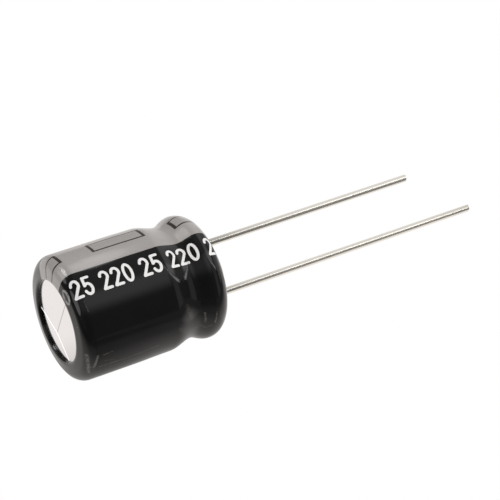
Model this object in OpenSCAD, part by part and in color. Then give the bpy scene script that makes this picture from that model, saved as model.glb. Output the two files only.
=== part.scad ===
// Radial aluminium electrolytic capacitor, 10 mm can, 5 mm lead pitch.
// It stands on its vent end: z = 0 is the plane that the sleeve's vent rim
// rests on, +Z runs along the can towards the leads, the two leads lie on the
// X axis, the positive (long) one at +X, and the stripe faces -X.
// All sizes are in millimetres.

/* [Case] */
// Outer diameter of the bare aluminium can
can_d = 10.0; // [9.8:0.05:10.2]
// Wall thickness of the can
can_t = 0.3; // [0.25:0.01:0.3]
// Overall length of the sleeved body, from vent rim to crimped end
body_l = 13.07; // [12.9:0.01:13.6]
// Radius of the rounded edge round the vent panel, outside the sleeve
head_r = 1.0; // [0.9:0.05:1.1]

/* [Crimp groove] */
// Height of the groove's deepest point above the vent rim
groove_z = 10.27; // [10.1:0.01:10.4]
// Depth of the groove in the can wall
groove_depth = 0.5; // [0.3:0.01:0.55]
// Length of the groove's slope on the vent side
groove_lower = 2.1; // [1.6:0.05:2.2]

/* [Vent panel] */
// Distance of the score's fork from the panel's centre
vent_fork = 1.55; // [0.6:0.05:1.6]
// Direction of the score's fork from the panel's centre, in degrees from the positive lead
vent_fork_az = 23; // [0:1:360]
// Direction that the score's stem points to the fork in, in degrees from the positive lead
vent_turn = 31; // [0:1:360]
// Depth of the scored grooves
vent_depth = 0.12; // [0.06:0.01:0.15]

/* [Sleeve] */
// Thickness of the heat-shrink sleeve
sleeve_t = 0.15; // [0.1:0.01:0.16]
// Inner radius of the sleeve's rim on the vent panel
sleeve_lip_r = 3.4; // [3.2:0.05:3.5]

/* [Leads] */
// Distance between the two leads' centres
lead_pitch = 5.0; // [4.9:0.05:5.1]
// Diameter of the lead wire
lead_d = 0.6; // [0.5:0.05:0.6]
// Length of the positive lead past the crimped end
lead_long = 26.4; // [5:0.1:35]
// Length of the negative lead past the crimped end
lead_short = 19.85; // [4:0.1:30]

/* [Rubber seal] */
// Height of the stand-off pads above the crimped end
pad_h = 0.43; // [0.3:0.01:0.6]
// Outer radius of the stand-off pads
pad_r = 3.3; // [3.0:0.05:3.4]
// Diameter of a terminal stem
stem_d = 1.5; // [1.3:0.05:1.5]

/* [Winding] */
// Number of turns of foil and paper
turns = 7; // [4:1:7]
// Radial room of one turn: two papers and two foils
wind_pitch = 0.42; // [0.4:0.005:0.42]
// Angle between two points along a wound strip
wind_step = 15; // [7.5, 15]

/* [Hidden] */

can_r = can_d / 2;
gap = 0.01;                              // clearance between nested skins
head_z = 0.25;                           // outer face of the vent panel
arc_r = head_r - 0.15;                   // can edge radius at the vent end
edge_c = can_r - arc_r;                  // its centre's radius
edge_z = head_z + arc_r;                 // its centre's height
curl_r = 1.15;                           // outer radius of the crimped end's roll
curl_c = can_r - 0.02 - curl_r;          // its centre's radius
curl_z = body_l - 0.15 - curl_r;         // its centre's height
groove_upper = curl_z - groove_z;        // length of the groove's other slope
taper_z = 5.2;                           // the straight wall ends here
taper = 0.035;                           // the wall draws in by this before the groove
bung_z = groove_z - 1.27;                // underside of the rubber seal
seal_z = body_l - 0.32;                  // face of the rubber seal
pad_z = body_l + pad_h;                  // top of the stand-off pads
stem_top = seal_z - 0.95;                // top of the aluminium stems
wind_z0 = 0.85;                          // lower edge of the papers
wind_z1 = bung_z - 0.7;                  // upper edge of the papers
foil_in = 0.5;                           // how far the foils stay inside the papers
core_r = 0.9;                            // radius of the winding's open core
tab_bump = 0.28;                         // how far a tab lifts the turns outside it

// Smooth step from 0 to 1
function ease(t) = t <= 0 ? 0 : t >= 1 ? 1 : 0.5 - 0.5 * cos(180 * t);

// Radius of the can's outer wall at height z, between the two rounded ends
function wall(z) =
    z < taper_z ? can_r
    : z < groove_z - groove_lower ? can_r - taper * ease((z - taper_z) / (groove_z - groove_lower - taper_z))
    : z < groove_z ? can_r - taper - (groove_depth - taper) * ease((z - groove_z + groove_lower) / groove_lower)
    : can_r - groove_depth + (groove_depth - 0.02) * ease((z - groove_z) / groove_upper);

// Heights at which the wall's profile has points
wall_z = concat([for (i = [0 : 6]) taper_z + (groove_z - groove_lower - taper_z) * i / 6],
                [for (i = [1 : 12]) groove_z - groove_lower + groove_lower * i / 12],
                [for (i = [1 : 12]) groove_z + groove_upper * i / 12]);

// Points on an arc about [cx, cz], from angle a0 to a1
function arc(cx, cz, r, a0, a1, n) =
    [for (i = [0 : n]) let (a = a0 + (a1 - a0) * i / n) [cx + r * cos(a), cz + r * sin(a)]];

// The wall's profile, moved inwards by d, upwards and downwards
function wall_up(d) = [for (z = wall_z) [wall(z) - d, z]];
function wall_down(d) = [for (i = [len(wall_z) - 1 : -1 : 0]) [wall(wall_z[i]) - d, wall_z[i]]];

// ---- sleeve -------------------------------------------------------------

sleeve_in = -gap;                        // inner skin: just clear of the can
sleeve_out = -gap - sleeve_t;            // outer skin

module sleeve() {
    color([0.09, 0.085, 0.085])
    rotate_extrude($fn = 96)
        polygon(concat(
            // thickened rim on the vent panel, flat where it rests
            [[sleeve_lip_r, 0.08], [sleeve_lip_r + 0.03, 0.02], [sleeve_lip_r + 0.08, 0],
             [sleeve_lip_r + 0.30, 0], [sleeve_lip_r + 0.40, 0.03], [sleeve_lip_r + 0.50, 0.08]],
            // rounded vent edge, outside
            arc(edge_c, edge_z, arc_r + gap + sleeve_t, -90, 0, 10),
            // wall and groove, outside
            wall_up(sleeve_out),
            // rounded crimped edge, outside
            arc(curl_c, curl_z, curl_r + gap + sleeve_t, 6, 82, 12),
            // cut edge near the seal
            [[curl_c + (curl_r + 0.1) * cos(84), curl_z + (curl_r + 0.1) * sin(84)]],
            // rounded crimped edge, inside
            arc(curl_c, curl_z, curl_r + gap, 82, 6, 12),
            wall_down(sleeve_in),
            arc(edge_c, edge_z, arc_r + gap, 0, -90, 10),
            [[sleeve_lip_r, head_z - gap]]));
}

// ---- can ----------------------------------------------------------------

// One straight V-shaped score from point p in direction a, with length l
module score(p, a, l) {
    translate([p[0], p[1], head_z])
        rotate([0, 0, a])
            rotate([90, 0, 90])
                linear_extrude(l)
                    polygon([[-0.17, -0.05], [0.17, -0.05], [0.03, vent_depth], [-0.03, vent_depth]]);
}

// Distance from a point at radius f to a circle of radius r, at angle a to the radius
function reach(f, r, a) = -f * cos(a) + sqrt(r * r - f * f * sin(a) * sin(a));

module can() {
    fork = [vent_fork * cos(vent_fork_az), vent_fork * sin(vent_fork_az)];
    color([0.86, 0.85, 0.84])
    difference() {
        rotate_extrude($fn = 96)
            polygon(concat(
                [[0, head_z]],
                arc(edge_c, edge_z, arc_r, -90, 0, 10),
                wall_up(0),
                arc(curl_c, curl_z, curl_r, 6, 90, 12),
                // rolled rim, biting towards the seal
                arc(curl_c - 0.06, curl_z + curl_r - can_t / 2, can_t / 2, 90, 270, 8),
                arc(curl_c, curl_z, curl_r - can_t, 90, 6, 12),
                wall_down(can_t),
                arc(edge_c, edge_z, arc_r - can_t, 0, -90, 10),
                [[0, head_z + can_t]]));
        for (a = [vent_turn + 180, vent_turn + 79.5, vent_turn - 79.5])
            score(fork, a, reach(vent_fork, 3.3, a - vent_fork_az));
    }
}

// ---- rubber seal --------------------------------------------------------

module bung() {
    d = can_t + gap;
    zs = [for (z = wall_z) if (z > bung_z + 0.15) z];
    color([0.13, 0.125, 0.12])
    difference() {
        union() {
            rotate_extrude($fn = 96)
                polygon(concat(
                    [[0, bung_z], [wall(bung_z) - d - 0.25, bung_z], [wall(bung_z + 0.15) - d, bung_z + 0.15]],
                    [for (z = zs) [wall(z) - d, z]],
                    arc(curl_c, curl_z, curl_r - d, 6, 84, 10),
                    [[3.62, seal_z - 0.14], [3.5, seal_z], [2.2, seal_z + 0.05], [0, seal_z + 0.07]]));
            // four stand-off pads between and beside the leads
            for (a = [47, 133, 227, 313])
                rotate([0, 0, a])
                    pad();
        }
        for (s = [-1, 1])
            translate([s * lead_pitch / 2, 0, 0]) {
                translate([0, 0, bung_z - 1]) cylinder(h = stem_top + 0.2 - bung_z + 1, r = stem_d / 2 + gap, $fn = 48);
                translate([0, 0, bung_z]) cylinder(h = 8, r = 0.42, $fn = 48);
            }
    }
}

// A stand-off pad: a block with a rounded top, cut from a ring
module pad() {
    rotate([0, 0, -20])
        rotate_extrude(angle = 40, $fn = 96)
            polygon([[1.75, seal_z - 0.3], [pad_r, seal_z - 0.3], [pad_r, pad_z - 0.12],
                     [pad_r - 0.04, pad_z - 0.04], [pad_r - 0.12, pad_z],
                     [1.87, pad_z], [1.79, pad_z - 0.04], [1.75, pad_z - 0.12]]);
}

// ---- leads and terminals ------------------------------------------------

// Tinned wire with its weld foot on the stem, drawing in to its even free
// length above the pads, and cut on the slant at its tip
module lead(x, l) {
    tip = body_l + l;
    free_z = pad_z + 0.2;
    color([0.80, 0.79, 0.76])
    translate([x, 0, 0])
        difference() {
            union() {
                translate([0, 0, free_z]) cylinder(h = tip - free_z, r = lead_d / 2, $fn = 48);
                translate([0, 0, stem_top]) cylinder(h = free_z - stem_top, r1 = lead_d / 2 + 0.06, r2 = lead_d / 2, $fn = 48);
                translate([0, 0, stem_top]) cylinder(h = 0.16, r = 0.5, $fn = 48);
            }
            translate([0, 0, tip])
                rotate([0, 16, 0])
                    translate([-1, -1, -0.09])
                        cube([2, 2, 2]);
        }
}

module lead_positive() { lead(lead_pitch / 2, lead_long); }
module lead_negative() { lead(-lead_pitch / 2, lead_short); }

// Aluminium stem in the seal, flattened below into a tab curved with the turns
module terminal(x, tab_in, tab_out, turn) {
    color([0.78, 0.78, 0.79])
    union() {
        translate([x, 0, wind_z1 + 0.38])
            cylinder(h = stem_top - wind_z1 - 0.38, r = stem_d / 2, $fn = 48);
        translate([x, 0, wind_z1 + 0.05])
            cylinder(h = 0.34, r1 = 0.3, r2 = stem_d / 2, $fn = 48);
        rotate([0, 0, turn - 23])
            rotate_extrude(angle = 46, $fn = 96)
                translate([tab_in, wind_z0 + 1.1])
                    square([tab_out - tab_in, wind_z1 - wind_z0 - 0.9]);
    }
}

module terminal_positive() { terminal(lead_pitch / 2, 2.43, 2.61, 0); }
module terminal_negative() { terminal(-lead_pitch / 2, 2.39, 2.57, 180); }

// ---- winding ------------------------------------------------------------

// Azimuth of unrolled angle t relative to a0, from -180 to 180
function rel(t, a0) = ((t - a0 + 900) % 360) - 180;
// Number of the turn that crosses azimuth a0 nearest to t
function crossing(t, a0) = round((t - a0 - rel(t, a0)) / 360);
// How strongly a tab lifts the strip at relative azimuth x
function lift(x) = abs(x) <= 30 ? 1 : abs(x) >= 75 ? 0 : 0.5 + 0.5 * cos(180 * (abs(x) - 30) / 45);
// A strip is lifted where it lies outside a tab: layer 1 carries the
// positive tab on turn 3, layer 3 the negative tab on turn 2
function bump(t, layer) =
    ((crossing(t, 0) > 3 || (crossing(t, 0) == 3 && layer > 1)) ? lift(rel(t, 0)) : 0)
    + ((crossing(t, 180) > 2 || (crossing(t, 180) == 2 && layer > 3)) ? lift(rel(t, 180)) : 0);
function strip_r(t, layer, off) = core_r + wind_pitch * t / 360 + off + tab_bump * bump(t, layer);

// A wound strip: layer number, inner offset, thickness, start and end angle
module strip(layer, off, th, t0, t1, z0, z1) {
    n = round((t1 - t0) / wind_step);
    translate([0, 0, z0])
        linear_extrude(z1 - z0)
            polygon(concat(
                [for (i = [0 : n]) let (t = t0 + i * wind_step) strip_r(t, layer, off + th) * [cos(t), sin(t)]],
                [for (i = [n : -1 : 0]) let (t = t0 + i * wind_step) strip_r(t, layer, off) * [cos(t), sin(t)]]));
}

module separator_inner() {
    color([0.85, 0.80, 0.68])
        strip(0, 0, 0.08, 0, 360 * turns, wind_z0, wind_z1);
}

module anode_foil() {
    color([0.62, 0.62, 0.63])
        strip(1, 0.095, 0.14, 45, 360 * turns - 90, wind_z0 + foil_in, wind_z1 - foil_in);
}

module separator_outer() {
    color([0.85, 0.80, 0.68])
        strip(2, 0.25, 0.08, 15, 360 * turns, wind_z0, wind_z1);
}

module cathode_foil() {
    color([0.72, 0.72, 0.73])
        strip(3, 0.345, 0.06, 90, 360 * turns - 45, wind_z0 + foil_in, wind_z1 - foil_in);
}

module winding_tape() {
    color([0.72, 0.62, 0.35])
        strip(4, wind_pitch, 0.05, 360 * (turns - 1) + 15, 360 * turns, wind_z0 + 0.9, wind_z1 - 0.9);
}

sleeve();
can();
bung();
lead_positive();
lead_negative();
terminal_positive();
terminal_negative();
anode_foil();
cathode_foil();
separator_inner();
separator_outer();
winding_tape();
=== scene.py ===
import math

import bmesh
import bpy
import numpy as np
from mathutils import Matrix, Vector, noise


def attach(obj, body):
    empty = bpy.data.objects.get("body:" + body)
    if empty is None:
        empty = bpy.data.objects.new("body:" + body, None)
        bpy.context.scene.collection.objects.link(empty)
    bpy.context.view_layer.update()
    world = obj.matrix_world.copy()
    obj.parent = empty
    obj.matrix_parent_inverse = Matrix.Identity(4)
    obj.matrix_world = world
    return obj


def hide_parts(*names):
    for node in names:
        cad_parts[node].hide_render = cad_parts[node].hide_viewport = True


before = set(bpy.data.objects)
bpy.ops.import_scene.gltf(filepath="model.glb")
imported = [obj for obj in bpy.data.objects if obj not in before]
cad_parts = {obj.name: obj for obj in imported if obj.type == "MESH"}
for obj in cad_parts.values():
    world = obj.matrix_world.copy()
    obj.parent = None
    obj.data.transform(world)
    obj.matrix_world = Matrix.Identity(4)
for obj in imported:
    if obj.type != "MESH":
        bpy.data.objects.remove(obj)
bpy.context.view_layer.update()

MM = 0.001
TAU = 2 * math.pi

# ---------------------------------------------------------------- shape
# the same profile as the CAD solids, in millimetres
CAN_R, GAP, SLEEVE_T = 5.0, 0.01, 0.15
HEAD_Z, EDGE_R = 0.25, 0.85
EDGE_C, EDGE_Z = CAN_R - EDGE_R, HEAD_Z + EDGE_R
CURL_R, CURL_C, CURL_Z = 1.15, 3.83, 11.77
TAPER_Z, TAPER = 5.2, 0.035
GROOVE_Z, GROOVE_D, GROOVE_LO = 10.27, 0.5, 2.1
GROOVE_UP = CURL_Z - GROOVE_Z
SEAL_Z, PAD_Z, PAD_R = 12.75, 13.5, 3.3
SLEEVE_R = CAN_R + GAP + SLEEVE_T


def ease(t):
    t = min(max(t, 0.0), 1.0)
    return 0.5 - 0.5 * math.cos(math.pi * t)


def wall(z):
    a = GROOVE_Z - GROOVE_LO
    if z < TAPER_Z:
        return CAN_R
    if z < a:
        return CAN_R - TAPER * ease((z - TAPER_Z) / (a - TAPER_Z))
    if z < GROOVE_Z:
        return CAN_R - TAPER - (GROOVE_D - TAPER) * ease((z - a) / GROOVE_LO)
    return CAN_R - GROOVE_D + (GROOVE_D - 0.02) * ease((z - GROOVE_Z) / GROOVE_UP)


def arc(cx, cz, r, a0, a1, n):
    return [(cx + r * math.cos(math.radians(a0 + (a1 - a0) * i / n)),
             cz + r * math.sin(math.radians(a0 + (a1 - a0) * i / n))) for i in range(n + 1)]


def smooth_line(pts, step):
    """A Catmull-Rom curve through the points, sampled about every step."""
    p = [np.array(q, float) for q in pts]
    p = [2 * p[0] - p[1]] + p + [2 * p[-1] - p[-2]]
    out = []
    for i in range(1, len(p) - 2):
        a, b, c, d = p[i - 1:i + 3]
        n = max(1, int(math.ceil(np.linalg.norm(c - b) / step)))
        for k in range(n):
            t = k / n
            out.append(0.5 * (2 * b + (c - a) * t + (2 * a - 5 * b + 4 * c - d) * t * t
                              + (3 * b - a - 3 * c + d) * t ** 3))
    out.append(p[-2])
    return [(float(q[0]), float(q[1])) for q in out]


def obj_from(name, verts, faces, smooth=True):
    mesh = bpy.data.meshes.new(name)
    mesh.from_pydata([tuple(v) for v in verts], [], faces)
    mesh.validate()
    mesh.update()
    if smooth:
        mesh.polygons.foreach_set("use_smooth", [True] * len(mesh.polygons))
    ob = bpy.data.objects.new(name, mesh)
    bpy.context.scene.collection.objects.link(ob)
    return ob


def recalc(ob):
    bm = bmesh.new()
    bm.from_mesh(ob.data)
    bmesh.ops.recalc_face_normals(bm, faces=bm.faces)
    bm.to_mesh(ob.data)
    bm.free()


def lathe(name, prof, n, shift=None, closed=True):
    """A surface of revolution of a closed profile. shift(az, i, r, z) moves a point by (dr, dz)."""
    m = len(prof)
    verts = np.zeros((n * m, 3))
    for j in range(n):
        az = TAU * j / n
        c, s = math.cos(az), math.sin(az)
        for i, (r, z) in enumerate(prof):
            if shift is not None:
                dr, dz = shift(az, i, r, z)
                r, z = r + dr, z + dz
            verts[j * m + i] = (r * c, r * s, z)
    faces = []
    last = m if closed else m - 1
    for j in range(n):
        k = (j + 1) % n
        for i in range(last):
            ii = (i + 1) % m
            faces.append((j * m + i, k * m + i, k * m + ii, j * m + ii))
    ob = obj_from(name, verts * MM, faces)
    recalc(ob)
    return ob


def wave(az, z, seed, fa, fz):
    """Smooth repeatable noise round the body: fa bumps round, fz bumps per mm along."""
    r = fa / TAU
    return noise.noise(Vector((r * math.cos(az) + 7.1 * seed, r * math.sin(az) - 3.7 * seed, z * fz + 11.3 * seed)))


def bell(x, c, w):
    t = (x - c) / w
    return math.exp(-t * t)


# ---------------------------------------------------------------- node helpers
class Nodes:
    def __init__(self, name):
        self.mat = bpy.data.materials.new(name)
        self.mat.use_nodes = True
        self.t = self.mat.node_tree
        self.t.nodes.clear()
        self.out = self.t.nodes.new("ShaderNodeOutputMaterial")
        self.coord = self.t.nodes.new("ShaderNodeTexCoord").outputs["Object"]

    def link(self, a, b):
        self.t.links.new(a, b)

    def put(self, socket, value):
        if isinstance(value, bpy.types.NodeSocket):
            self.link(value, socket)
        else:
            socket.default_value = value

    def math(self, op, a, b=None, c=None, clamp=False):
        n = self.t.nodes.new("ShaderNodeMath")
        n.operation = op
        n.use_clamp = clamp
        for s, v in zip(n.inputs, (a, b, c)):
            if v is not None:
                self.put(s, v)
        return n.outputs[0]

    def vmath(self, op, a, b=None):
        n = self.t.nodes.new("ShaderNodeVectorMath")
        n.operation = op
        self.put(n.inputs[0], a)
        if b is not None:
            self.put(n.inputs[1], b)
        return n.outputs[0]

    def xyz(self, v=None):
        n = self.t.nodes.new("ShaderNodeSeparateXYZ")
        self.link(v or self.coord, n.inputs[0])
        return n.outputs[0], n.outputs[1], n.outputs[2]

    def join(self, x, y, z):
        n = self.t.nodes.new("ShaderNodeCombineXYZ")
        for s, v in zip(n.inputs, (x, y, z)):
            self.put(s, v)
        return n.outputs[0]

    def noise(self, scale, detail=2.0, rough=0.5, vec=None, distort=0.0):
        n = self.t.nodes.new("ShaderNodeTexNoise")
        self.link(vec or self.coord, n.inputs["Vector"])
        n.inputs["Scale"].default_value = scale
        n.inputs["Detail"].default_value = detail
        n.inputs["Roughness"].default_value = rough
        n.inputs["Distortion"].default_value = distort
        return n.outputs["Fac"]

    def voronoi(self, scale, feature="F1", vec=None, rand=1.0):
        n = self.t.nodes.new("ShaderNodeTexVoronoi")
        n.feature = feature
        self.link(vec or self.coord, n.inputs["Vector"])
        n.inputs["Scale"].default_value = scale
        n.inputs["Randomness"].default_value = rand
        return n.outputs["Distance"]

    def ramp(self, fac, a, b, lo=0.0, hi=1.0):
        n = self.t.nodes.new("ShaderNodeMapRange")
        n.interpolation_type = "SMOOTHSTEP"
        self.put(n.inputs["Value"], fac)
        n.inputs["From Min"].default_value = a
        n.inputs["From Max"].default_value = b
        n.inputs["To Min"].default_value = lo
        n.inputs["To Max"].default_value = hi
        return n.outputs[0]

    def mix(self, fac, a, b):
        n = self.t.nodes.new("ShaderNodeMix")
        n.data_type = "RGBA"
        self.put(n.inputs[0], fac)
        for s, v in ((n.inputs[6], a), (n.inputs[7], b)):
            if isinstance(v, bpy.types.NodeSocket):
                self.link(v, s)
            else:
                s.default_value = (*v, 1.0)
        return n.outputs[2]

    def bump(self, height, dist, strength=1.0, normal=None):
        n = self.t.nodes.new("ShaderNodeBump")
        n.inputs["Strength"].default_value = strength
        n.inputs["Distance"].default_value = dist
        self.link(height, n.inputs["Height"])
        if normal is not None:
            self.link(normal, n.inputs["Normal"])
        return n.outputs[0]

    def principled(self, **kw):
        n = self.t.nodes.new("ShaderNodeBsdfPrincipled")
        for k, v in kw.items():
            s = n.inputs[k]
            if isinstance(v, bpy.types.NodeSocket):
                self.link(v, s)
            elif isinstance(v, tuple) and len(v) == 3 and s.type == "RGBA":
                s.default_value = (*v, 1.0)
            else:
                s.default_value = v
        self.link(n.outputs[0], self.out.inputs["Surface"])
        return self.mat


# ---------------------------------------------------------------- materials
# pale streaks painted into the film's colour: partly rubbed wear, partly painted highlights
SCUFFS_AND_HIGHLIGHTS = [(-82, 0.28, -58, 0.50, 0.12, 1.0), (-81, 1.06, -68, 0.79, 0.11, 0.80), (-66, 0.45, -71, 0.95, 0.035, 0.6),
          (-66.5, 1.20, -65.0, 3.90, 0.045, 0.80), (-65.0, 3.90, -67.0, 6.55, 0.040, 0.60),
          (-80, 1.55, -80.5, 2.30, 0.07, 0.45), (-74, 1.4, -69, 2.6, 0.05, 0.25), (-61, 2.2, -58, 5.2, 0.05, 0.25),
          (-83.5, 10.70, -72, 10.80, 0.10, 0.70), (-83.5, 11.60, -71.5, 11.50, 0.08, 0.65),
          (-67.5, 10.40, -63, 10.90, 0.045, 0.55), (-63, 10.90, -67.5, 11.30, 0.045, 0.55),
          (-133, 0.92, -123, 0.97, 0.035, 0.90), (-98, 9.1, -84, 9.5, 0.25, 0.24), (-78, 8.3, -70, 9.2, 0.25, 0.12),
          (40, 3.0, 44, 6.5, 0.04, 0.45), (95, 7.2, 120, 8.0, 0.05, 0.40), (-20, 5.0, -9, 5.6, 0.06, 0.40),
          (75, 1.1, 90, 0.9, 0.09, 0.55), (10, 11.2, 25, 11.5, 0.08, 0.55)]


def sleeve_material():
    m = Nodes("sleeve_film")
    x, y, z = m.xyz()
    phi = m.math("ARCTAN2", m.math("MULTIPLY", y, -1.0), m.math("MULTIPLY", x, -1.0))
    ragged = m.math("MULTIPLY", m.math("SUBTRACT", m.noise(5200, 2.0), 0.5), 0.006)
    off = m.math("ADD", phi, math.radians(7.3))
    u = m.math("ADD", m.math("ABSOLUTE", off), ragged)
    zr = m.math("ADD", z, m.math("MULTIPLY", ragged, 0.006))
    deg = math.radians
    stripe = m.math("LESS_THAN", u, deg(26.4))
    lines = None
    for z0, z1 in ((-1.0, 1.02), (3.62, 8.28), (10.86, 99.0)):
        outer = m.math("LESS_THAN", u, deg(8.95))
        outer = m.math("MULTIPLY", outer, m.math("GREATER_THAN", zr, z0 * MM))
        outer = m.math("MULTIPLY", outer, m.math("LESS_THAN", zr, z1 * MM))
        inner = m.math("LESS_THAN", u, deg(7.05))
        inner = m.math("MULTIPLY", inner, m.math("GREATER_THAN", zr, (z0 + 0.25) * MM))
        inner = m.math("MULTIPLY", inner, m.math("LESS_THAN", zr, (z1 - 0.25) * MM))
        one = m.math("SUBTRACT", outer, inner)
        lines = one if lines is None else m.math("MAXIMUM", lines, one)
    grey = m.mix(m.noise(900, 4.0, 0.6), (0.335, 0.312, 0.300), (0.375, 0.352, 0.338))
    ink = m.mix(m.noise(2500, 3.0), (0.016, 0.013, 0.011), (0.036, 0.029, 0.026))
    black = m.mix(m.noise(400, 3.0), (0.0055, 0.0052, 0.0052), (0.0085, 0.0080, 0.0080))
    colour = m.mix(stripe, black, m.mix(lines, grey, ink))
    # scuffs and painted highlights: pale streaks between places (azimuth, height), with a half width in mm and a
    # strength; some are rubbed wear, the others are painted highlight lines standing in for reflections on the glossy
    # film
    px, py = m.math("MULTIPLY", phi, SLEEVE_R), m.math("MULTIPLY", z, 1000.0)
    broken = m.ramp(m.noise(3800, 4.0, 0.65), 0.36, 0.62, 0.15, 1.0)
    scuff_and_highlight = None
    for a0, z0, a1, z1, w, k in SCUFFS_AND_HIGHLIGHTS:
        ax, ay = deg(a0 + 180) * SLEEVE_R, z0
        bx, by = deg(a1 + 180) * SLEEVE_R, z1
        dx, dy = bx - ax, by - ay
        ll = dx * dx + dy * dy
        t = m.math("ADD", m.math("MULTIPLY", px, dx / ll), m.math("MULTIPLY", py, dy / ll))
        t = m.math("SUBTRACT", t, (ax * dx + ay * dy) / ll, clamp=True)
        ex = m.math("SUBTRACT", px, m.math("MULTIPLY_ADD", t, dx, ax))
        ey = m.math("SUBTRACT", py, m.math("MULTIPLY_ADD", t, dy, ay))
        d = m.math("SQRT", m.math("ADD", m.math("MULTIPLY", ex, ex), m.math("MULTIPLY", ey, ey)))
        one = m.ramp(d, 0.2 * w, 1.3 * w, k, 0.0)
        scuff_and_highlight = one if scuff_and_highlight is None else m.math("MAXIMUM", scuff_and_highlight, one)
    scuff_and_highlight = m.math("MULTIPLY", scuff_and_highlight, broken)
    # the streaks' pale colour is partly wear and partly painted highlight
    colour = m.mix(scuff_and_highlight, colour, (0.125, 0.118, 0.110))
    # a few specks of dust
    cell = m.voronoi(620)
    dust = m.math("MULTIPLY", m.math("LESS_THAN", cell, 0.022), 0.6)
    colour = m.mix(dust, colour, (0.55, 0.53, 0.50))
    # fine dulled spots in the gloss; the pale streaks and the dust are rougher too
    dull = m.ramp(m.noise(1500, 5.0, 0.65), 0.50, 0.78, 0.0, 0.10)
    dull = m.math("ADD", dull, m.math("MULTIPLY", m.math("MAXIMUM", scuff_and_highlight, dust), 0.30))
    rough = m.math("ADD", m.math("MULTIPLY", stripe, 0.12), m.math("ADD", dull, 0.10))
    peel = m.bump(m.noise(520, 2.0), 0.000010, 0.35)
    grain = m.bump(m.noise(9000, 2.0), 0.0000012, 0.25, peel)
    return m.principled(**{"Base Color": colour, "Roughness": rough, "IOR": 1.5, "Normal": grain})


def print_material(name="print_white", ink=(0.86, 0.85, 0.84), thin=(0.42, 0.41, 0.40), a=0.58, b=0.70):
    m = Nodes(name)
    worn = m.ramp(m.noise(4200, 4.0, 0.7), a, b)
    colour = m.mix(worn, ink, thin)
    rough = m.ramp(m.noise(2600, 3.0), 0.3, 0.7, 0.30, 0.45)
    return m.principled(**{"Base Color": colour, "Roughness": rough, "IOR": 1.5,
                           "Normal": m.bump(m.noise(7000, 2.0), 0.000002, 0.4)})


def aluminium_material(name="can_aluminium", tint=(0.918, 0.900, 0.900), rough=(0.09, 0.16), grain=900, score=False):
    m = Nodes(name)
    x, y, z = m.xyz()
    # rolled sheet: a fine grain along one direction
    rolled = m.join(m.math("MULTIPLY", x, 26.0), m.math("MULTIPLY", y, 1.0), m.math("MULTIPLY", z, 6.0))
    lines = m.noise(grain, 3.0, 0.6, rolled)
    cloud = m.noise(650, 3.0, 0.55)
    colour = m.mix(cloud, tuple(0.955 * c for c in tint), tint)
    r = m.ramp(cloud, 0.3, 0.75, rough[0], rough[1])
    if score:
        # the floor of the panel's score is rougher, and painted a darker grey as shade in the recess
        score_floor_shade = m.math("MULTIPLY", m.math("GREATER_THAN", z, 0.286 * MM), m.math("LESS_THAN", z, 0.42 * MM))
        near = m.math("ADD", m.math("MULTIPLY", x, x), m.math("MULTIPLY", y, y))
        score_floor_shade = m.math("MULTIPLY", score_floor_shade, m.math("LESS_THAN", near, (3.45 * MM) ** 2))
        # painted shade: the score's floor is darkened
        colour = m.mix(score_floor_shade, colour, (0.66, 0.64, 0.63))
        r = m.math("ADD", r, m.math("MULTIPLY", score_floor_shade, 0.25))
    n = m.bump(lines, 0.0000030, 0.35)
    n = m.bump(m.noise(5200, 2.0), 0.0000015, 0.30, n)
    return m.principled(**{"Base Color": colour, "Metallic": 1.0, "Roughness": r, "Normal": n})


def rubber_material():
    m = Nodes("seal_rubber")
    cloud = m.noise(700, 4.0, 0.6)
    colour = m.mix(cloud, (0.014, 0.0135, 0.013), (0.030, 0.028, 0.027))
    speck = m.ramp(m.voronoi(3800), 0.0, 0.16, 1.0, 0.0)
    colour = m.mix(m.math("MULTIPLY", speck, 0.35), colour, (0.075, 0.072, 0.068))
    r = m.ramp(cloud, 0.3, 0.8, 0.48, 0.66)
    n = m.bump(m.noise(5200, 3.0, 0.6), 0.000006, 0.5)
    n = m.bump(m.noise(1300, 2.0), 0.000016, 0.35, n)
    return m.principled(**{"Base Color": colour, "Roughness": r, "IOR": 1.5, "Normal": n})


def tin_material():
    m = Nodes("tinned_wire")
    x, y, z = m.xyz()
    # drawing lines run along the wire
    drawn = m.join(m.math("MULTIPLY", x, 14.0), m.math("MULTIPLY", y, 14.0), m.math("MULTIPLY", z, 0.5))
    lines = m.noise(900, 3.0, 0.6, drawn)
    cloud = m.noise(900, 4.0, 0.6)
    colour = m.mix(cloud, (0.75, 0.708, 0.640), (0.83, 0.80, 0.742))
    r = m.ramp(m.math("ADD", m.math("MULTIPLY", lines, 0.5), m.math("MULTIPLY", cloud, 0.5)), 0.3, 0.7, 0.17, 0.25)
    n = m.bump(lines, 0.0000030, 0.10)
    n = m.bump(m.noise(1600, 2.0), 0.0000030, 0.04, n)
    return m.principled(**{"Base Color": colour, "Metallic": 1.0, "Roughness": r, "Normal": n})


def foil_material(name, a, b, rough):
    m = Nodes(name)
    etched = m.noise(6500, 4.0, 0.7)
    colour = m.mix(etched, a, b)
    return m.principled(**{"Base Color": colour, "Metallic": 0.9, "Roughness": rough,
                           "Normal": m.bump(etched, 0.000004, 0.5)})


def paper_material():
    m = Nodes("separator_paper")
    x, y, z = m.xyz()
    fibre = m.noise(1500, 5.0, 0.7, m.join(x, y, m.math("MULTIPLY", z, 0.25)))
    colour = m.mix(fibre, (0.52, 0.45, 0.32), (0.70, 0.63, 0.48))
    return m.principled(**{"Base Color": colour, "Roughness": 0.55,
                           "Normal": m.bump(fibre, 0.000010, 0.5)})


def tape_material():
    m = Nodes("closing_tape")
    cloud = m.noise(900, 3.0, 0.5)
    colour = m.mix(cloud, (0.50, 0.38, 0.13), (0.60, 0.47, 0.18))
    return m.principled(**{"Base Color": colour, "Roughness": 0.25,
                           "Normal": m.bump(m.noise(3000, 2.0), 0.000003, 0.4)})


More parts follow.
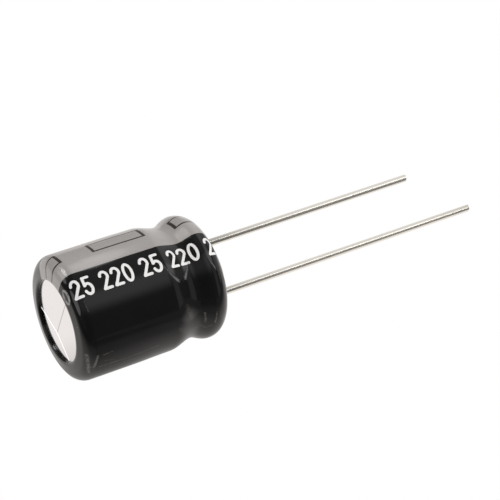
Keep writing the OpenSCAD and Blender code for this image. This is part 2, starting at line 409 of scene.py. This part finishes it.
SLEEVE_MAT = sleeve_material()
PRINT_MAT = print_material()
THIN_MAT = print_material("print_thin", (0.30, 0.295, 0.29), (0.10, 0.098, 0.096), 0.45, 0.62)
CAN_MAT = aluminium_material(score=True)
RUBBER_MAT = rubber_material()
TIN_MAT = tin_material()
TERMINAL_MAT = aluminium_material("terminal_aluminium", (0.84, 0.84, 0.85), (0.22, 0.36), 1400)
ANODE_MAT = foil_material("etched_foil", (0.30, 0.30, 0.31), (0.46, 0.46, 0.47), 0.6)
CATHODE_MAT = foil_material("plain_foil", (0.55, 0.55, 0.56), (0.68, 0.68, 0.69), 0.35)
PAPER_MAT = paper_material()
TAPE_MAT = tape_material()

# ---------------------------------------------------------------- sleeve
RO = EDGE_R + GAP + SLEEVE_T
RC = CURL_R + GAP + SLEEVE_T
rim = smooth_line([(3.40, 0.235), (3.398, 0.155), (3.418, 0.080), (3.465, 0.028), (3.535, 0.004), (3.62, 0.0),
                   (3.71, 0.0045), (3.82, 0.0225), (3.98, 0.0487), (4.15, 0.0765)], 0.045)
outer = rim + arc(EDGE_C, EDGE_Z, RO, -80.7, 0, 22)
zs = list(np.arange(EDGE_Z + 0.11, CURL_Z - 0.04, 0.11))
outer += [(wall(z) + GAP + SLEEVE_T, z) for z in zs]
outer += arc(CURL_C, CURL_Z, RC, 1.5, 81, 20)
cut = [(CURL_C + q * math.cos(math.radians(a)), CURL_Z + q * math.sin(math.radians(a)))
       for q, a in ((RC - 0.012, 83.2), (RC - 0.05, 84.4), (RC - 0.09, 84.6), (RC - 0.13, 83.8))]
inner = arc(CURL_C, CURL_Z, CURL_R + GAP, 82, 4, 8)
inner += [(wall(z) + GAP, z) for z in np.linspace(CURL_Z, EDGE_Z + 0.1, 26)]
inner += arc(EDGE_C, EDGE_Z, EDGE_R + GAP, 0, -90, 8)
N_OUT = len(outer) + len(cut)
SLEEVE_PROF = outer + cut + inner
NORMALS = []
for i, (r, z) in enumerate(SLEEVE_PROF):
    a = SLEEVE_PROF[(i - 1) % len(SLEEVE_PROF)]
    b = SLEEVE_PROF[(i + 1) % len(SLEEVE_PROF)]
    d = np.array([b[1] - a[1], -(b[0] - a[0])])
    NORMALS.append(d / np.linalg.norm(d))


def film(az, z, r):
    """How far the shrunk film stands off its even shape at this place, in mm."""
    d = 0.010 * wave(az, z, 1, 3.0, 0.22) + 0.005 * wave(az, z, 2, 7.0, 0.45)
    # puckers where the film drew into the groove and over the crimped end
    g = bell(z, 10.0, 0.9) + 0.8 * bell(z, 12.2, 0.7)
    d += g * (0.020 * wave(az, z, 3, 15.0, 0.30) + 0.010 * wave(az, z, 4, 31.0, 0.5))
    # gathers towards the vent rim, where the film had most to shrink
    v = bell(z, 0.35, 0.55)
    d += v * (0.012 * wave(az, z, 5, 17.0, 0.25) + 0.006 * wave(az, z, 6, 37.0, 0.4))
    return d * min(max((z - 0.09) / 0.21, 0.0), 1.0)


def sleeve_shift(az, i, r, z):
    if i >= N_OUT:
        return 0.0, 0.0
    d = film(az, z, r)
    n = NORMALS[i]
    dr, dz = d * n[0], d * n[1]
    if i < 8:          # the rim's inner edge is cut a little unevenly
        dr += 0.030 * wave(az, 0.0, 8, 5.0, 0.0) + 0.010 * wave(az, 0.0, 9, 16.0, 0.0)
    if i >= N_OUT - len(cut) - 2:
        k = 0.035 * wave(az, 0.0, 10, 6.0, 0.0) + 0.014 * wave(az, 0.0, 11, 22.0, 0.0)
        dr += k
    return dr, dz


sleeve = lathe("sleeve_film", SLEEVE_PROF, 384, sleeve_shift)
sleeve.data.materials.append(SLEEVE_MAT)
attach(sleeve, "root")
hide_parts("sleeve")

# ---------------------------------------------------------------- printed numerals
# plain digits from strokes on a unit box: x across the digit, y from baseline to top


def ellipse(cx, cy, rx, ry, a0, a1, n=14):
    return [(cx + rx * math.cos(math.radians(a0 + (a1 - a0) * i / n)),
             cy + ry * math.sin(math.radians(a0 + (a1 - a0) * i / n))) for i in range(n + 1)]


DIGITS = {
    "0": [ellipse(0.5, 0.5, 0.5, 0.5, 0, 360, 28)],
    "2": [ellipse(0.5, 0.72, 0.48, 0.28, 170, -20, 12) + [(0.02, 0.0)], [(0.02, 0.0), (1.0, 0.0)]],
    "3": [ellipse(0.48, 0.75, 0.44, 0.25, 160, -80, 12), ellipse(0.48, 0.26, 0.50, 0.26, 85, -165, 14)],
    "4": [[(0.75, 0.0), (0.75, 1.0), (0.0, 0.30), (1.0, 0.30)]],
    "5": [[(0.93, 1.0), (0.18, 1.0), (0.10, 0.52)] + ellipse(0.48, 0.31, 0.50, 0.31, 135, -160, 14)],
    "6": [ellipse(0.5, 0.31, 0.48, 0.31, 0, 360, 22), [(0.02, 0.36), (0.10, 0.70), (0.38, 0.97), (0.80, 1.0)]],
    "7": [[(0.0, 1.0), (1.0, 1.0), (0.35, 0.0)]],
}
NUM_H, NUM_W, NUM_PEN = 1.42, 0.62, 0.115    # height and width of the stroke centre lines, half the pen
NUM_STEP = 0.98                              # from digit to digit
NUM_BASE = math.radians(-137.3)              # azimuth of the baseline


def seg_dist(px, py, ax, ay, bx, by):
    dx, dy = bx - ax, by - ay
    t = np.clip(((px - ax) * dx + (py - ay) * dy) / (dx * dx + dy * dy + 1e-12), 0, 1)
    return np.hypot(px - ax - t * dx, py - ay - t * dy)


def digit_mesh(ch, z0, step=0.035):
    """Marching squares on the distance to the digit's strokes, as (points, polygons) in (along, up)."""
    pad = NUM_PEN + 2 * step
    xs = np.arange(-pad, NUM_W + pad + step, step)
    ys = np.arange(-pad, NUM_H + pad + step, step)
    gx, gy = np.meshgrid(xs, ys, indexing="ij")
    d = np.full(gx.shape, 9.0)
    for line in DIGITS[ch]:
        for (ax, ay), (bx, by) in zip(line, line[1:]):
            d = np.minimum(d, seg_dist(gx, gy, ax * NUM_W, ay * NUM_H, bx * NUM_W, by * NUM_H))
    f = NUM_PEN - d
    for a in range(f.shape[0]):
        for b in range(f.shape[1]):
            f[a, b] += 0.010 * noise.noise(Vector((gx[a, b] * 9 + z0 * 3, gy[a, b] * 9, 4.0)))
    pts, index, polys = [], {}, []

    def corner(a, b):
        key = ("c", a, b)
        if key not in index:
            index[key] = len(pts)
            pts.append((xs[a], ys[b]))
        return index[key]

    def cross(a0, b0, a1, b1):
        if (a1, b1) < (a0, b0):
            a0, b0, a1, b1 = a1, b1, a0, b0
        key = ("e", a0, b0, a1, b1)
        if key not in index:
            t = f[a0, b0] / (f[a0, b0] - f[a1, b1])
            t = min(max(t, 0.08), 0.92)
            index[key] = len(pts)
            pts.append((xs[a0] + (xs[a1] - xs[a0]) * t, ys[b0] + (ys[b1] - ys[b0]) * t))
        return index[key]

    for a in range(len(xs) - 1):
        for b in range(len(ys) - 1):
            ring = [(a, b), (a + 1, b), (a + 1, b + 1), (a, b + 1)]
            inside = [f[q] > 0 for q in ring]
            if not any(inside):
                continue
            if inside == [True, False, True, False] or inside == [False, True, False, True]:
                inside = [True] * 4 if f[a, b] + f[a + 1, b + 1] + f[a + 1, b] + f[a, b + 1] > 0 else inside
            if inside in ([True, False, True, False], [False, True, False, True]):
                for k in range(4):
                    if inside[k]:
                        p, q, n = ring[k - 1], ring[k], ring[(k + 1) % 4]
                        polys.append([cross(*p, *q), corner(*q), cross(*q, *n)])
                continue
            poly = []
            for k in range(4):
                q, n = ring[k], ring[(k + 1) % 4]
                if inside[k]:
                    poly.append(corner(*q))
                if inside[k] != inside[(k + 1) % 4]:
                    poly.append(cross(*q, *n))
            polys.append(poly)
    return pts, polys


def sleeve_point(s, az, lift):
    """A point over the sleeve at arc length s along the profile from the body's height 0, lifted off it."""
    i = np.searchsorted(ARC_S, s) - 1
    i = min(max(i, 0), len(ARC_S) - 2)
    t = (s - ARC_S[i]) / (ARC_S[i + 1] - ARC_S[i])
    r = OUTER_NP[i, 0] * (1 - t) + OUTER_NP[i + 1, 0] * t
    z = OUTER_NP[i, 1] * (1 - t) + OUTER_NP[i + 1, 1] * t
    n = NORM_NP[i] * (1 - t) + NORM_NP[i + 1] * t
    n = n / np.linalg.norm(n)
    d = film(az, z, r) + lift
    r, z = r + d * n[0], z + d * n[1]
    return r * math.cos(az), r * math.sin(az), z


OUTER_NP = np.array(outer)
NORM_NP = np.array(NORMALS[:len(outer)])
ARC_S = np.concatenate([[0.0], np.cumsum(np.linalg.norm(np.diff(OUTER_NP, axis=0), axis=1))])
# arc length where the height is 1.1 mm is called 1.1, so along the wall s is nearly the height
ARC_S = ARC_S - np.interp(EDGE_Z, OUTER_NP[:, 1][20:], ARC_S[20:]) + EDGE_Z


def numerals(name, text, s0, mat):
    verts, faces = [], []
    s = s0
    for ch in text:
        if ch == " ":
            s += 0.52
            continue
        pts, polys = digit_mesh(ch, s)
        base = len(verts)
        n = len(pts)
        for lift in (0.013, 0.001):
            for u, v in pts:
                az = NUM_BASE - v / SLEEVE_R
                verts.append(sleeve_point(s + u, az, lift))
        edges = {}
        for p in polys:
            for a, b in zip(p, p[1:] + p[:1]):
                edges[(a, b)] = edges.get((a, b), 0) + 1
        for p in polys:
            faces.append([base + q for q in p])
            faces.append([base + n + q for q in reversed(p)])
        for (a, b) in edges:
            if (b, a) not in edges:
                faces.append([base + b, base + a, base + n + a, base + n + b])
        s += NUM_STEP
    ob = obj_from(name, np.array(verts) * MM, faces)
    recalc(ob)
    ob.data.materials.append(mat)
    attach(ob, "root")
    return ob


numerals("printed_numeral_rim", "0", -0.76, THIN_MAT)
numerals("printed_numerals", "25 220 25 220 2", 0.42, PRINT_MAT)

# ---------------------------------------------------------------- can
SCORE_WAYS = sorted(a % 360 for a in (31 + 180, 31 + 79.5, 31 - 79.5))
SCORE_D, SCORE_R, CAN_T, CAN_N = 0.048, 3.34, 0.3, 384
SCORE_TOP, SCORE_FLOOR = 0.052, 0.018         # half widths
FORK = Vector((1.55 * math.cos(math.radians(23)), 1.55 * math.sin(math.radians(23))))


def meet(a, b, off):
    """Where the left edge of the score in direction a meets the right edge of the score in direction b."""
    da, db = (Vector((math.cos(math.radians(q)), math.sin(math.radians(q)))) for q in (a, b))
    pa = FORK + Vector((-da.y, da.x)) * off
    pb = FORK - Vector((-db.y, db.x)) * off
    k = ((pb.x - pa.x) * db.y - (pb.y - pa.y) * db.x) / (da.x * db.y - da.y * db.x)
    return pa + da * k


def on_circle(a, off, r):
    """Where a score's edge, offset to the left by off, crosses the circle of radius r."""
    d = Vector((math.cos(math.radians(a)), math.sin(math.radians(a))))
    q = FORK + Vector((-d.y, d.x)) * off
    k = -q.dot(d) + math.sqrt(q.dot(d) ** 2 - q.dot(q) + r * r)
    return q + d * k


def can_piece():
    prof = [(r, HEAD_Z) for r in (SCORE_R, 3.5, 3.8, 4.0)] + arc(EDGE_C, EDGE_Z, EDGE_R, -90, 0, 8)
    prof += [(wall(z), z) for z in np.linspace(EDGE_Z + 0.3, CURL_Z - 0.05, 24)]
    prof += arc(CURL_C, CURL_Z, CURL_R, 2, 90, 16)
    prof += arc(CURL_C - 0.06, CURL_Z + CURL_R - CAN_T / 2, CAN_T / 2, 98, 262, 8)
    prof += arc(CURL_C, CURL_Z, CURL_R - CAN_T, 88, 2, 8)
    prof += [(wall(z) - CAN_T, z) for z in np.linspace(CURL_Z - 0.05, EDGE_Z + 0.1, 16)]
    prof += arc(EDGE_C, EDGE_Z, EDGE_R - CAN_T, 0, -90, 6) + [(2.0, HEAD_Z + CAN_T), (0.5, HEAD_Z + CAN_T)]
    m, n = len(prof), CAN_N
    verts = []
    for j in range(n):
        c, q = math.cos(TAU * j / n), math.sin(TAU * j / n)
        verts += [(r * c, r * q, z) for r, z in prof]
    faces = [(j * m + i, (j + 1) % n * m + i, (j + 1) % n * m + i + 1, j * m + i + 1)
             for j in range(n) for i in range(m - 1)]
    faces.append([j * m + m - 1 for j in range(n)])

    def add(p, z):
        verts.append((p.x, p.y, z))
        return len(verts) - 1

    def ring_at(p):
        return round(math.atan2(p.y, p.x) / TAU * n) % n

    def ring(j0, j1):
        """Ring vertices from j0 to j1, counterclockwise."""
        return [(j0 + k) % n * m for k in range((j1 - j0) % n + 1)]

    w = SCORE_WAYS
    tops = [add(meet(w[k], w[(k + 1) % 3], SCORE_TOP), HEAD_Z) for k in range(3)]
    lows = [add(meet(w[k], w[(k + 1) % 3], SCORE_FLOOR), HEAD_Z + SCORE_D) for k in range(3)]
    left = [ring_at(on_circle(a, SCORE_TOP, SCORE_R)) for a in w]
    right = [ring_at(on_circle(a, -SCORE_TOP, SCORE_R)) for a in w]
    for k in range(3):
        for j, off in ((left[k], SCORE_TOP), (right[k], -SCORE_TOP)):
            q = on_circle(w[k], off, SCORE_R)
            verts[j * m] = (q.x, q.y, HEAD_Z)
    low_left = [add(on_circle(a, SCORE_FLOOR, SCORE_R - 0.05), HEAD_Z + SCORE_D) for a in w]
    low_right = [add(on_circle(a, -SCORE_FLOOR, SCORE_R - 0.05), HEAD_Z + SCORE_D) for a in w]
    for k in range(3):
        after = (k + 1) % 3
        before = (k - 1) % 3
        # the flat of the panel between this score and the next
        faces.append([tops[k]] + ring(left[k], right[after]))
        # the two walls, the floor and the end of this score
        faces.append([tops[k], left[k] * m, low_left[k], lows[k]])
        faces.append([tops[before], lows[before], low_right[k], right[k] * m])
        faces.append([lows[k], low_left[k], low_right[k], lows[before]])
        faces.append([low_right[k], low_left[k]] + ring(right[k], left[k])[::-1])
    faces.append(list(lows))
    ob = obj_from("can_shell", np.array(verts) * MM, faces)
    recalc(ob)
    for f in ob.data.polygons:
        if all(ob.data.vertices[v].co.z < (HEAD_Z + SCORE_D + 0.01) * MM
               and ob.data.vertices[v].co.xy.length < 4.12 * MM for v in f.vertices):
            f.use_smooth = False
    return ob


can = can_piece()
can.data.materials.append(CAN_MAT)
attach(can, "root")
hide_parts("can")

# ---------------------------------------------------------------- carried-over CAD nodes
for node, mat in {"bung": RUBBER_MAT, "lead_positive": TIN_MAT, "lead_negative": TIN_MAT,
                  "terminal_positive": TERMINAL_MAT, "terminal_negative": TERMINAL_MAT,
                  "anode_foil": ANODE_MAT, "cathode_foil": CATHODE_MAT, "separator_inner": PAPER_MAT,
                  "separator_outer": PAPER_MAT, "winding_tape": TAPE_MAT}.items():
    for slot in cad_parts[node].material_slots:
        slot.material = mat

# ---------------------------------------------------------------- camera
CAM_C = (-0.08462311, -0.12483703, -0.05132722)
CAM_R = [[0.0436531135, -0.5054918286, 0.8617264165],
         [0.8604491220, -0.4192786648, -0.2895387879],
         [0.5076629926, 0.7541110081, 0.4166471810]]
cam_data = bpy.data.cameras.new("camera")
cam_data.sensor_width = 36.0
cam_data.lens = 36.0 * 2027.011 / 500
cam_data.clip_start = 0.01
cam_data.clip_end = 10.0
camera = bpy.data.objects.new("camera", cam_data)
bpy.context.scene.collection.objects.link(camera)
right, down, ahead = (Vector(v).normalized() for v in CAM_R)
camera.matrix_world = Matrix(((right.x, -down.x, -ahead.x, CAM_C[0]),
                              (right.y, -down.y, -ahead.y, CAM_C[1]),
                              (right.z, -down.z, -ahead.z, CAM_C[2]),
                              (0, 0, 0, 1)))
bpy.context.scene.camera = camera

# ---------------------------------------------------------------- studio
scene = bpy.context.scene
scene.view_settings.view_transform = "Standard"
scene.view_settings.look = "None"

world = bpy.data.worlds.new("studio")
scene.world = world
world.use_nodes = True
wt = world.node_tree
wt.nodes.clear()
path = wt.nodes.new("ShaderNodeLightPath")
w_out = wt.nodes.new("ShaderNodeOutputWorld")


def world_light(level, tint=(1.0, 1.0, 1.0)):
    b = wt.nodes.new("ShaderNodeBackground")
    b.inputs["Color"].default_value = (*tint, 1.0)
    b.inputs["Strength"].default_value = level
    return b.outputs[0]


def world_mix(fac, a, b):
    n = wt.nodes.new("ShaderNodeMixShader")
    wt.links.new(fac, n.inputs[0])
    wt.links.new(a, n.inputs[1])
    wt.links.new(b, n.inputs[2])
    return n.outputs[0]


soft = world_light(0.86)
gloss = world_light(0.50)
white = world_light(1.0)
# in reflections the studio is dark below the vent end and pale past the lead end
way = wt.nodes.new("ShaderNodeTexCoord")
way_z = wt.nodes.new("ShaderNodeSeparateXYZ")
wt.links.new(way.outputs["Generated"], way_z.inputs[0])
by_z = wt.nodes.new("ShaderNodeMapRange")
by_z.interpolation_type = "SMOOTHSTEP"
by_z.inputs["From Min"].default_value = -0.6
by_z.inputs["From Max"].default_value = 0.9
by_z.inputs["To Min"].default_value = 0.06
by_z.inputs["To Max"].default_value = 0.60
wt.links.new(way_z.outputs[2], by_z.inputs["Value"])
wt.links.new(by_z.outputs[0], gloss.node.inputs["Strength"])
wt.links.new(world_mix(path.outputs["Is Camera Ray"], world_mix(path.outputs["Is Glossy Ray"], soft, gloss), white),
             w_out.inputs["Surface"])
world.cycles.sampling_method = "NONE"

UP = Vector((-0.981, -0.196, 0.0)).normalized()      # the photo's upward direction
SIDE = Vector((0.196, -0.981, 0.0)).normalized()     # along the photo's table, towards the camera
AXIS = Vector((0, 0, 1))


def at(up, side, z):
    p = UP * up + SIDE * side
    return (p.x, p.y, z)


def reflect_only(ob):
    ob.visible_camera = ob.visible_diffuse = ob.visible_transmission = False
    ob.visible_volume_scatter = ob.visible_shadow = False


def emit(m, level, tint=(1.0, 1.0, 1.0)):
    """Finish a Nodes material as a light card of this level."""
    e = m.t.nodes.new("ShaderNodeEmission")
    e.inputs["Color"].default_value = (*tint, 1.0)
    m.put(e.inputs["Strength"], level)
    m.link(e.outputs[0], m.out.inputs["Surface"])
    m.mat.cycles.emission_sampling = "NONE"
    return m.mat


def table_light():
    """The white table: paler close by, fading along the table and past the vent end."""
    m = Nodes("card_table")
    x, y, z = m.xyz()
    side = m.math("ADD", m.math("MULTIPLY", x, SIDE.x), m.math("MULTIPLY", y, SIDE.y))
    level = m.ramp(side, -4 * MM, 1.5 * MM, 0.92, 0.65)
    for a, b, end in ((-25, -80, 0.55), (6.5, 14, 0.40), (13, 28, 0.18)):
        level = m.math("MULTIPLY", level, m.ramp(side, a * MM, b * MM, 1.0, end))
    for a, b, start, end in ((-26, -4, 0.08, 1.0), (0.5, 3.0, 1.0, 0.62), (4, 8.5, 1.0, 1.35), (10.5, 13.0, 1.0, 1.25)):
        level = m.math("MULTIPLY", level, m.ramp(z, a * MM, b * MM, start, end))
    wires = m.ramp(side, 5 * MM, 20 * MM, 1.0, 0.12)
    level = m.math("ADD", level, m.math("MULTIPLY", m.ramp(z, 14.5 * MM, 17 * MM),
                                        m.math("SUBTRACT", wires, level)))
    return emit(m, level, (1.0, 0.965, 0.940))


def sky_light():
    """The studio round the photo's capacitor, seen in its gloss: a pale side, a dark side, a soft light between."""
    m = Nodes("card_sky")
    x, y, z = m.xyz()
    dot = m.math("ADD", m.math("MULTIPLY", x, UP.x), m.math("MULTIPLY", y, UP.y))
    cross = m.math("SUBTRACT", m.math("MULTIPLY", y, UP.x), m.math("MULTIPLY", x, UP.y))
    a = m.math("MULTIPLY", m.math("ARCTAN2", cross, dot), 180 / math.pi)
    body = m.math("ADD", m.ramp(a, -36, -26, 0.50, 0.22), m.ramp(a, 30, 56, 0.0, -0.18))
    glow = m.math("MULTIPLY", m.ramp(a, 12, 24), m.ramp(a, 34, 56, 1.0, 0.0))
    glow = m.math("MULTIPLY", glow, m.ramp(z, 31 * MM, 35 * MM, 0.42, 0.06))
    body = m.math("ADD", body, glow)
    body = m.math("ADD", body, m.ramp(a, -93, -58, -0.22, 0.0))
    body = m.math("MULTIPLY", body, m.ramp(z, -8 * MM, 20 * MM, 0.45, 1.0))
    wires = m.ramp(a, 2, 46, 0.88, 0.30)
    wires = m.math("ADD", wires, m.math("MULTIPLY", m.ramp(a, 4, 13, 0.0, 0.95), m.ramp(a, 24, 36, 1.0, 0.0)))
    k = m.math("MULTIPLY", m.ramp(z, 39.5 * MM, 43.5 * MM), m.ramp(z, 70 * MM, 90 * MM, 1.0, 0.0))
    level = m.math("ADD", m.math("MULTIPLY", body, m.math("SUBTRACT", 1.0, k)), m.math("MULTIPLY", wires, k))
    return emit(m, level)


def around(a, r=60.0):
    """The point at angle a from UP on a circle of radius r about the body's axis."""
    a = math.radians(a)
    return UP.x * math.cos(a) - UP.y * math.sin(a), UP.y * math.cos(a) + UP.x * math.sin(a), r


def shell(name, a0, a1, z0, z1, r, n=96):
    verts, faces = [], []
    for i in range(n + 1):
        x, y, q = around(a0 + (a1 - a0) * i / n, r)
        verts += [(x * q * MM, y * q * MM, z0 * MM), (x * q * MM, y * q * MM, z1 * MM)]
    for i in range(n):
        faces.append((2 * i, 2 * i + 2, 2 * i + 3, 2 * i + 1))
    return obj_from(name, verts, faces)


def strip(name, line, r, level):
    """A narrow light along points (angle from UP, height, half width)."""
    verts, faces = [], []
    fine = smooth_line([(a, z) for a, z, w in line], 2.0)
    total = sum(math.dist(p, q) for p, q in zip(fine, fine[1:]))
    run = 0.0
    for i, (a, z) in enumerate(fine):
        if i:
            run += math.dist(fine[i - 1], fine[i])
        w = np.interp(run / total, np.linspace(0, 1, len(line)), [q[2] for q in line])
        b, c = fine[max(i - 1, 0)], fine[min(i + 1, len(fine) - 1)]
        k = math.radians(1) * r
        d = Vector(((c[0] - b[0]) * k, c[1] - b[1]))
        d.normalize()
        for sgn in (1, -1):
            x, y, q = around(a - sgn * d.y * w / k, r)
            verts.append((x * q * MM, y * q * MM, (z + sgn * d.x * w) * MM))
        if i:
            faces.append((2 * i - 2, 2 * i - 1, 2 * i + 1, 2 * i))
    ob = obj_from(name, verts, faces)
    ob.data.materials.append(emit(Nodes(name), level))
    reflect_only(ob)


# the white table that the photo's capacitor lies on
table = obj_from("card_table", [Vector(c) * MM for c in (at(-5.45, -150, -110), at(-5.45, 150, -110),
                                                         at(-5.45, 150, 140), at(-5.45, -150, 140))],
                 [(0, 1, 2, 3)], smooth=False)
table.data.materials.append(table_light())
reflect_only(table)
sky = shell("card_sky", -94.5, 94.5, -60, 130, 60.0)
sky.data.materials.append(sky_light())
reflect_only(sky)
# the strip that draws the bright line along the leads and over the groove's slope
strip("card_strip", [(12.7, 32, 0.8), (20, 35, 1.2), (32.7, 55, 3.4), (46.7, 95, 4.0)], 59.0, 3.4)


def lamp(name, place, way, spread, level, reach):
    """A round light card seen from this place, in this direction, within this half angle."""
    way = Vector(way).normalized()
    mid = Vector(place) + way * reach
    a = way.cross(AXIS).normalized()
    b = way.cross(a)
    r = reach * math.tan(math.radians(spread))
    ob = obj_from(name, [(mid + (a * math.cos(TAU * i / 32) + b * math.sin(TAU * i / 32)) * r) * MM
                         for i in range(32)], [tuple(range(32))], smooth=False)
    ob.data.materials.append(emit(Nodes(name), level))
    reflect_only(ob)


# lamps that draw the highlights on the shoulder, on the slope under the leads and on the score's walls
lamp("card_lamp_shoulder", (-4.9, -1.04, 0.56), (-0.778, 0.481, -0.405), 10.5, 8.5, 13.0)
lamp("card_lamp_crimp", (-4.9, -1.04, 11.2), (-0.86, 0.47, -0.22), 15.0, 2.6, 13.0)
lamp("card_lamp_score_a", (0.75, 2.0, 0.3), (-0.700, 0.303, -0.646), 14.0, 1.6, 18.0)
lamp("card_lamp_score_b", (2.6, -0.9, 0.3), (-0.583, -0.210, -0.784), 16.0, 1.6, 18.0)

# floor, seen from above only
floor = obj_from("floor", [(-3, -3, 0), (3, -3, 0), (3, 3, 0), (-3, 3, 0)], [(0, 1, 2, 3)], smooth=False)
fm = bpy.data.materials.new("floor")
fm.use_nodes = True
ft = fm.node_tree
ft.nodes.clear()
fo = ft.nodes.new("ShaderNodeOutputMaterial")
fd = ft.nodes.new("ShaderNodeBsdfDiffuse")
fd.inputs["Color"].default_value = (0.86, 0.86, 0.85, 1)
fx = ft.nodes.new("ShaderNodeBsdfTransparent")
fg = ft.nodes.new("ShaderNodeNewGeometry")
fmix = ft.nodes.new("ShaderNodeMixShader")
f_at = ft.nodes.new("ShaderNodeTexCoord")
f_len = ft.nodes.new("ShaderNodeVectorMath")
f_len.operation = "LENGTH"
ft.links.new(f_at.outputs["Object"], f_len.inputs[0])
f_far = ft.nodes.new("ShaderNodeMapRange")
f_far.interpolation_type = "SMOOTHSTEP"
f_far.inputs["From Min"].default_value = 0.05
f_far.inputs["From Max"].default_value = 0.60
ft.links.new(f_len.outputs["Value"], f_far.inputs["Value"])
f_max = ft.nodes.new("ShaderNodeMath")
f_max.operation = "MAXIMUM"
ft.links.new(fg.outputs["Backfacing"], f_max.inputs[0])
ft.links.new(f_far.outputs[0], f_max.inputs[1])
ft.links.new(f_max.outputs[0], fmix.inputs[0])
ft.links.new(fd.outputs[0], fmix.inputs[1])
ft.links.new(fx.outputs[0], fmix.inputs[2])
ft.links.new(fmix.outputs[0], fo.inputs["Surface"])
floor.data.materials.append(fm)
floor.visible_diffuse = floor.visible_glossy = floor.visible_transmission = False
floor.visible_volume_scatter = floor.visible_shadow = False

# one soft key light from above, for the floor's shadow
key_data = bpy.data.lights.new("key", "AREA")
key_data.shape = "DISK"
key_data.size = 0.25
key_data.energy = 0.35
key = bpy.data.objects.new("key", key_data)
scene.collection.objects.link(key)
key.location = (-0.12, -0.10, 0.30)
key.rotation_euler = (Vector((0, 0, 0.01)) - Vector(key.location)).to_track_quat("-Z", "Y").to_euler()
key.visible_glossy = False
